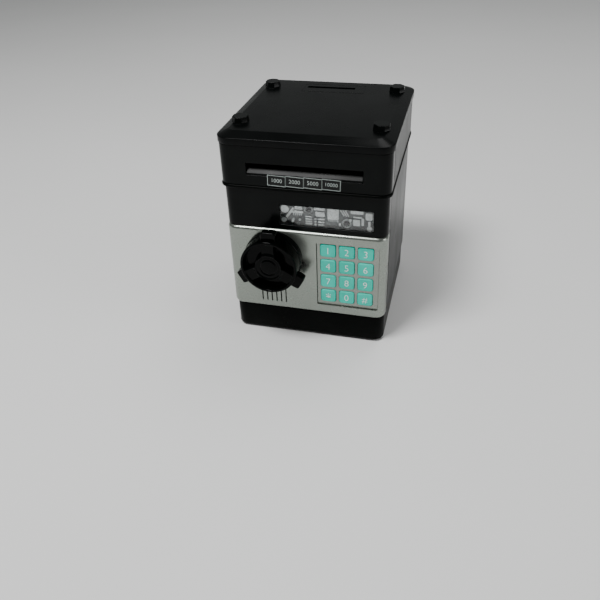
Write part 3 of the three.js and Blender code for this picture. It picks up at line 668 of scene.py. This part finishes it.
def build_labels():
    """Four small value labels in a row, each set a little askew."""
    first_x = -19.6 * MM
    z = 139.3 * MM
    y = FASCIA_LOW.y
    for i, value in enumerate(("1000", "2000", "5000", "10000")):
        x = first_x + i * (LABEL_W - 0.35 * MM)
        turn = Matrix.Translation((x, y, z)) @ Matrix.Rotation(LABEL_TURN, 4, "Y")
        edge = rounded_rect(-LABEL_W / 2, LABEL_W / 2, -LABEL_H / 2, LABEL_H / 2, 0.3 * MM, 3)
        patch = prism(f"value_label_{i + 1}", edge, -0.06 * MM, 0.02 * MM, "y")
        patch.data.transform(turn)
        place(patch, "housing", LABEL_INK, "gloss_black")
        border = prism(f"value_border_{i + 1}", edge, -0.12 * MM, -0.02 * MM, "y")
        line = 0.5 * MM
        hole = prism("hole", rounded_rect(-LABEL_W / 2 + line, LABEL_W / 2 - line, -LABEL_H / 2 + line,
                                          LABEL_H / 2 - line, 0.2 * MM, 3), -0.01, 0.01, "y")
        cut(border, [hole])
        border.data.transform(turn)
        place(border, "housing", LABEL_LINE, "gloss_black")
        size = 4.3 * MM if len(value) == 4 else 3.9 * MM
        text_piece(f"value_text_{i + 1}", "housing", value, size, (x, y - 0.07 * MM, z), LABEL_PRINT,
                   "gloss_black", 0.04 * MM, LABEL_TURN, thin=0.02 * MM)


# ------------------------------------------------------------------ window with its circuit plate and lamps
def build_window():
    pane = rounded_rect(LENS_LOW.x, LENS_HIGH.x, LENS_LOW.z, LENS_HIGH.z, 0.6 * MM, 5)
    lens = prism("window_lens_fine", pane, LENS_LOW.y, LENS_HIGH.y, "y")
    round_edges(lens, 0.2 * MM, 3)
    place(lens, "housing", LENS, "lens", "window_lens")
    from_frame("circuit_plate", RELIEF_DARK, "circuit", 0.1 * MM)
    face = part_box("circuit_plate")[0].y
    left, bottom = WINDOW_LOW.x, WINDOW_LOW.z - 1 * MM

    def raised(name, outline, height):
        placed = [(left + x * MM, bottom + z * MM) for x, z in outline]
        piece = prism(name, placed, face - height * MM, face + 0.05 * MM, "y")
        round_edges(piece, min(0.14, height / 3) * MM, 2)
        return place(piece, "housing", RELIEF, "circuit")

    def disc(name, x, z, r, height):
        raised(name, arc(x, z, r, 0, 2 * math.pi * 31 / 32, 31), height)

    def bar(name, x0, x1, z0, z1, height, r=0.25):
        raised(name, rounded_rect(x0, x1, z0, z1, r, 3), height)

    def strip(name, x0, z0, x1, z1, half, height):
        """A raised line between two points."""
        length = math.hypot(x1 - x0, z1 - z0)
        u, v = (x1 - x0) / length * half, (z1 - z0) / length * half
        raised(name, [(x0 + v, z0 - u), (x1 + v, z1 - u), (x1 - v, z1 + u), (x0 - v, z0 + u)], height)

    disc("relief_disc_1", 3.5, 13.4, 3.2, 1.0)
    disc("relief_disc_2", 2.5, 3.9, 2.0, 0.8)
    disc("relief_disc_3", 14.9, 5.2, 0.9, 1.1)
    disc("relief_disc_4", 67.8, 2.6, 1.9, 0.9)
    strip("relief_slope_1", 4.6, 6.4, 10.4, 14.6, 0.9, 0.7)
    strip("relief_slope_2", 9.0, 2.6, 10.3, 6.2, 0.8, 1.1)
    bar("relief_step_1", 11.2, 17.0, 13.6, 16.6, 0.6, 0.4)
    bar("relief_step_2", 9.2, 17.6, 10.6, 12.6, 0.8, 0.3)
    for i in range(5):
        bar(f"relief_tooth_{i + 1}", 9.8 + i * 1.5, 10.5 + i * 1.5, 8.6, 10.9, 0.7)
    for i in range(4):
        bar(f"relief_rib_{i + 1}", 19.2, 24.4, 1.8 + i * 2.0, 3.0 + i * 2.0, 0.8, 0.3)
    bar("relief_block_1", 27.2, 34.2, 9.2, 13.4, 1.1, 0.4)
    bar("relief_block_2", 25.8, 34.2, 14.2, 17.0, 0.6, 0.3)
    for i in range(3):
        bar(f"relief_pin_{i + 1}", 26.2, 27.8, 1.6 + i * 2.5, 3.0 + i * 2.5, 1.2, 0.3)
        bar(f"relief_finger_{i + 1}", 29.0, 34.0, 1.4 + i * 2.5, 2.8 + i * 2.5, 0.8, 0.3)
    bar("relief_chip", 36.2, 44.8, 7.8, 16.2, 0.9, 0.5)
    for i in range(6):
        bar(f"relief_leg_{i + 1}", 36.6 + i * 1.4, 37.3 + i * 1.4, 5.8, 8.0, 0.6, 0.2)
    for i in range(3):
        strip(f"relief_trace_{i + 1}", 45.8 + i * 1.9, 16.0, 49.0 + i * 1.6, 11.2, 0.45, 0.6)
    bar("relief_tab", 44.8, 46.4, 3.0, 5.4, 0.6)
    disc("relief_stud", 53.6, 8.6, 1.1, 1.2)
    bar("relief_track_1", 53.6, 63.0, 13.8, 16.4, 0.7, 0.5)
    bar("relief_track_2", 55.6, 63.6, 10.6, 12.0, 0.8, 0.5)
    bar("relief_track_3", 61.8, 63.6, 4.6, 12.0, 0.8, 0.5)
    bar("relief_track_4", 55.6, 60.6, 4.2, 9.2, 0.9, 0.4)
    bar("relief_block_3", 64.8, 69.8, 9.6, 15.4, 0.9, 1.2)
    bar("relief_post", 66.9, 68.5, 4.6, 9.0, 1.2, 0.7)
    for side in ("left", "right"):
        low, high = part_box("led_" + side)
        centre = ((low.x + high.x) / 2, 0, (low.z + high.z) / 2)
        r = (high.x - low.x) / 2
        steps = 8
        dome = [(0, low.y)]
        for i in range(1, steps + 1):
            a = QUARTER * i / steps
            dome.append((r * math.sin(a), low.y + r * 0.7 * (1 - math.cos(a))))
        dome += [(r, high.y - 0.3 * MM), (r - 0.3 * MM, high.y), (0, high.y)]
        lamp = lathe(f"led_{side}_fine", dome, centre, "y", 48)
        smooth_by_angle(lamp, 40)
        place(lamp, "housing", LAMP, "led", "led_" + side)
        bore, root = r + 0.35 * MM, face + 0.05 * MM
        rim = [(bore, root), (bore, face - 1.1 * MM), (r + 0.8 * MM, face - 1.4 * MM),
               (r + 1.3 * MM, face - 1.1 * MM), (r + 1.5 * MM, root), (bore, root)]
        collar = lathe(f"led_collar_{side}", rim, centre, "y", 48)
        smooth_by_angle(collar, 50)
        place(collar, "housing", RELIEF, "circuit")


# ------------------------------------------------------------------ door
DOOR_EDGE = 2.8 * MM
SLIT_COUNT = 6
SLIT_PITCH = 3.95 * MM
SLIT_LOW = 31.4 * MM
SLIT_HIGH = 45 * MM


def build_door():
    z0, z1 = DOOR_LOW.z, DOOR_HIGH.z
    half = DOOR_W / 2
    y0 = DOOR_LOW.y
    left_end = SEAM_Y - GAP
    outline = ([(half, HINGE_Y)] + arc(half - CORNER, y0 + CORNER, CORNER, 0, -QUARTER, 14)
               + arc(-half + CORNER, y0 + CORNER, CORNER, -QUARTER, -2 * QUARTER, 14)
               + [(-half, left_end), (-half + WALL, left_end), (-half + WALL, HINGE_Y)])
    panel = prism("door_panel_fine", outline, z0, z1)
    bm = bmesh.new()
    bm.from_mesh(panel.data)
    rim = [e for e in bm.edges
           if all(abs(v.co.z - e.verts[0].co.z) < 1e-7 for v in e.verts)
           and all(v.co.y < HINGE_Y + 1e-6 for v in e.verts)
           and not all(abs(v.co.y - HINGE_Y) < 1e-6 for v in e.verts)]
    bmesh.ops.bevel(bm, geom=rim, offset=DOOR_EDGE, segments=6, profile=0.5, affect="EDGES")
    bm.to_mesh(panel.data)
    bm.free()
    knuckle = lathe("knuckle", [(0, z0), (4.2 * MM, z0), (4.5 * MM, z0 + 0.3 * MM), (4.5 * MM, z1 - 0.3 * MM),
                                (4.2 * MM, z1), (0, z1)], (HINGE_X, HINGE_Y, 0), "z", 64)
    cut(panel, [knuckle], "UNION")
    inner_y = y0 + WALL
    hinge_side = half - WALL - 6.5 * MM
    cavity = prism("cavity", [(hinge_side, HINGE_Y + 0.01), (hinge_side, inner_y + 3 * MM),
                              (half - WALL - 8 * MM, inner_y), (-half + WALL + 6 * MM, inner_y),
                              (-half + WALL, inner_y + 6 * MM), (-half + WALL, HINGE_Y + 0.01)],
                   z0 + 1.8 * MM, z1 - 1.8 * MM)
    keypad = prism("keypad", rounded_rect(KEYPAD_LOW.x - GAP, KEYPAD_HIGH.x + GAP, KEYPAD_LOW.z - GAP,
                                          KEYPAD_HIGH.z + GAP, 1 * MM, 5), y0 - 0.01, y0 + 0.01, "y")
    shaft = lathe("shaft", [(0, -0.01), (5 * MM, -0.01), (5 * MM, 0.01), (0, 0.01)],
                  (KNOB_X, y0, KNOB_Z), "y", 48)
    cutters = [cavity, keypad, shaft]
    for i in range(SLIT_COUNT):
        x = KNOB_X - 12 * MM + i * SLIT_PITCH
        slit = rounded_rect(x - 0.5 * MM, x + 0.5 * MM, SLIT_LOW, SLIT_HIGH, 0.45 * MM, 4)
        cutters.append(prism(f"slit_{i}", slit, y0 - 0.01, y0 + 0.01, "y"))
    cut(panel, cutters)
    tidy(panel, angle=0.2)
    round_edges(panel, 0.22 * MM, 2, 50)
    place(panel, "door", SILVER, "silver", "door_panel")


def build_keypad():
    y0 = KEYPAD_LOW.y
    plate = prism("keypad_plate_fine", rounded_rect(KEYPAD_LOW.x, KEYPAD_HIGH.x, KEYPAD_LOW.z, KEYPAD_HIGH.z,
                                                    0.8 * MM, 5), y0, KEYPAD_HIGH.y, "y")
    cutters = []
    for key in KEYS:
        low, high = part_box("key_" + key)
        x0, x1, z0_, z1_ = key_face(low, high)
        cutters.append(prism("hole_" + key, rounded_rect(x0 - 0.4 * MM, x1 + 0.4 * MM, z0_ - 0.4 * MM,
                                                         z1_ + 0.4 * MM, KEY_CORNER + 0.3 * MM, 5),
                             y0 - 0.01, y0 + 0.01, "y"))
    cut(plate, cutters)
    tidy(plate)
    round_edges(plate, 0.2 * MM, 2)
    place(plate, "door", SILVER, "silver", "keypad_plate")


KEYS = ("1", "2", "3", "4", "5", "6", "7", "8", "9", "star", "0", "hash")
KEY_MARKS = {"star": "*", "hash": "#"}
KEY_FLANGE = 0.9 * MM
KEY_CORNER = 1.9 * MM


def key_face(low, high):
    return low.x + KEY_FLANGE, high.x - KEY_FLANGE, low.z + KEY_FLANGE, high.z - KEY_FLANGE


def build_keys():
    for key in KEYS:
        low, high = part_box("key_" + key)
        x0, x1, z0, z1 = key_face(low, high)
        cx, cz = (x0 + x1) / 2, (z0 + z1) / 2

        def ring(inset, y, r):
            return [(x, y, z) for x, z in rounded_rect(x0 + inset, x1 - inset, z0 + inset, z1 - inset, r, 6)]

        flange_y = high.y - 1 * MM
        front = low.y
        lip = 0.75 * MM
        rings = [ring(-KEY_FLANGE, high.y, 1 * MM), ring(-KEY_FLANGE, flange_y, 1 * MM),
                 ring(0, flange_y, KEY_CORNER), ring(0, front + lip, KEY_CORNER)]
        steps = 5
        for i in range(1, steps + 1):
            a = QUARTER * i / steps
            rings.append(ring(0.7 * MM * (1 - math.cos(a)), front + lip - lip * math.sin(a), KEY_CORNER))
        rings.append(ring(2.2 * MM, front + 0.12 * MM, 1.0 * MM))
        rings.append(ring(3.8 * MM, front + 0.18 * MM, 0.8 * MM))
        cap = loft("key_" + key + "_fine", rings)
        smooth_by_angle(cap, 45)
        place(cap, "key_" + key, TEAL, "key", "key_" + key)
        mark = KEY_MARKS.get(key, key)
        size = 11.5 * MM if mark == "*" else 8.2 * MM
        drop = -2.2 * MM if mark == "*" else -0.5 * MM
        text_piece("mark_" + key, "key_" + key, mark, size, (cx, front + 0.16 * MM, cz + drop), PRINT, "key",
                   0.08 * MM, squeeze=0.95, thin=0.09 * MM)


# ------------------------------------------------------------------ knob
LOBE_HALF = 5.75 * MM
LOBE_REACH = 28.5 * MM
RIM_R = 22.4 * MM
POCKET_OUT = 19.6 * MM
POCKET_IN = 10.6 * MM
POCKET_DEPTH = 6.4 * MM
LOBE_DROP = 3.6 * MM


def soft_step(x):
    x = min(max(x, 0.0), 1.0)
    return x * x * (3 - 2 * x)


def lobed_radius(angle, inset):
    """Outline of the wheel's rear part: a round rim with three square-ended lobes."""
    turn = (angle - QUARTER) % (2 * math.pi / 3)
    off = min(turn, 2 * math.pi / 3 - turn)
    end = (LOBE_REACH - inset) / math.cos(off)
    side = (LOBE_HALF - inset) / max(math.sin(off), 1e-3)
    lobe = (end ** -14 + side ** -14) ** (-1 / 14)
    return max(RIM_R, lobe)


def knob_depth(x, z):
    """How far the front surface lies behind the rim at a point of the wheel's face."""
    r = math.hypot(x, z)
    angle = math.atan2(z, x)
    turn = (angle - QUARTER) % (2 * math.pi / 3)
    off = min(turn, 2 * math.pi / 3 - turn)
    across = abs(r * math.sin(off)) if off < QUARTER else r
    ring_in = soft_step((POCKET_OUT + 0.9 * MM - r) / (1.4 * MM))
    hub_out = soft_step((r - POCKET_IN + 0.2 * MM) / (1.5 * MM))
    spoke_out = soft_step((across - LOBE_HALF * 0.82) / (1.3 * MM))
    pocket = POCKET_DEPTH * ring_in * hub_out * spoke_out
    spoke_dip = 1.2 * MM * ring_in * soft_step((r - POCKET_IN) / (2 * MM)) * (1 - spoke_out)
    hub = soft_step((POCKET_IN - r) / (1.2 * MM))
    groove = 0.5 * MM * math.exp(-((r - 6.6 * MM) / (0.55 * MM)) ** 2)
    dome = 0.9 * MM * (1 - (r / POCKET_IN) ** 2) if r < POCKET_IN else 0
    return pocket + spoke_dip + hub * (1.1 * MM - dome) + hub * groove


def build_knob():
    front, back = WHEEL_LOW.y, WHEEL_HIGH.y
    shelf = front + LOBE_DROP
    sides = 288
    edge = 0.9 * MM
    soft = 0.7 * MM
    steps = 5
    angles = [2 * math.pi * i / sides for i in range(sides)]
    bm = bmesh.new()
    loops = []

    def add_ring(radius_at, depth_at):
        points = [(radius_at(a) * math.cos(a), radius_at(a) * math.sin(a)) for a in angles]
        loops.append([bm.verts.new((KNOB_X + x, depth_at(x, z), KNOB_Z + z)) for x, z in points])

    turns = [QUARTER * i / steps for i in range(steps + 1)]
    for a in turns:
        inset, y = soft * (1 - math.sin(a)), back - soft * (1 - math.cos(a))
        add_ring(lambda t: lobed_radius(t, inset), lambda x, z: y)
    for a in turns:
        inset, y = soft * (1 - math.cos(a)), shelf + soft * (1 - math.sin(a))
        add_ring(lambda t: lobed_radius(t, inset), lambda x, z: y)
    add_ring(lambda t: RIM_R, lambda x, z: shelf)
    for a in turns:
        inset, y = edge * (1 - math.cos(a)), front + edge * (1 - math.sin(a))
        add_ring(lambda t: RIM_R - inset, lambda x, z: y)
    face_rows = 74
    for k in range(1, face_rows):
        radius = (RIM_R - edge) * (1 - k / face_rows)
        add_ring(lambda t: radius, lambda x, z: front + knob_depth(x, z))
    for a, b in zip(loops, loops[1:]):
        for i in range(sides):
            j = (i + 1) % sides
            bm.faces.new((a[i], a[j], b[j], b[i]))
    bm.faces.new(loops[0])
    tip = bm.verts.new((KNOB_X, front + knob_depth(0, 0), KNOB_Z))
    for i in range(sides):
        bm.faces.new((loops[-1][i], loops[-1][(i + 1) % sides], tip))
    bmesh.ops.remove_doubles(bm, verts=bm.verts, dist=0.000002)
    wheel = object_from(bm, "knob_wheel_fine")
    smooth_by_angle(wheel, 40)
    place(wheel, "knob", KNOB, "knob", "knob_wheel")


def build_drum():
    front, back = DRUM_LOW.y, DRUM_HIGH.y
    r = (DRUM_HIGH.x - DRUM_LOW.x) / 2
    steps = 6
    profile = [(5 * MM, back), (r, back)]
    for i in range(steps + 1):
        a = QUARTER * i / steps
        profile.append((r - 1.2 * MM * (1 - math.cos(a)), front + 1.2 * MM * (1 - math.sin(a))))
    profile += [(5 * MM, front), (5 * MM, back)]
    drum = lathe("knob_drum_fine", profile, (KNOB_X, 0, KNOB_Z), "y", 128)
    smooth_by_angle(drum, 45)
    place(drum, "door", KNOB, "knob", "knob_drum")


# ------------------------------------------------------------------ inner works
INNER_NODES = (
    ("battery_box", INNER, "satin_black"), ("vault_floor", INNER, "satin_black"),
    ("door_inner_cover", INNER, "satin_black"), ("battery_cover", GLOSS, "gloss_black"),
    ("battery_cover_screw", STEEL, "steel"), ("battery_cell_1", CELL, "cell"),
    ("battery_cell_2", CELL, "cell"), ("battery_cell_3", CELL, "cell"),
    ("foot_front_left", RUBBER, "rubber"), ("foot_back_left", RUBBER, "rubber"),
    ("foot_front_right", RUBBER, "rubber"), ("foot_back_right", RUBBER, "rubber"),
    ("roller_bracket", GREY, "grey_plastic"), ("motor", STEEL, "steel"),
    ("drive_belt", RUBBER, "rubber"), ("feed_shaft", STEEL, "steel"),
    ("feed_roller_left", RUBBER, "rubber"), ("feed_roller_right", RUBBER, "rubber"),
    ("feed_pulley", GREY, "grey_plastic"), ("pinch_shaft", STEEL, "steel"),
    ("pinch_roller", RUBBER, "rubber"), ("motor_pulley", STEEL, "steel"),
    ("hinge_pin_lower", STEEL, "steel"), ("hinge_pin_upper", STEEL, "steel"),
    ("keypad_mat", RUBBER, "rubber"), ("keypad_board", BOARD, "board"),
    ("speaker", CONE, "speaker"), ("knob_spindle", GREY, "grey_plastic"),
    ("lock_tongue", GREY, "grey_plastic"), ("lock_plunger", STEEL, "steel"),
    ("lock_solenoid", COPPER, "coil"),
)


def build_inner():
    for node, material, slot in INNER_NODES:
        from_frame(node, material, slot)


add_camera()
add_floor()
add_world()
add_lights()
build_upper_fascia()
build_window_fascia()
build_rear_shells()
build_waist()
build_base()
build_lid()
build_coin_pad()
build_posts()
build_chute()
build_labels()
build_window()
build_door()
build_keypad()
build_keys()
build_knob()
build_drum()
build_inner()
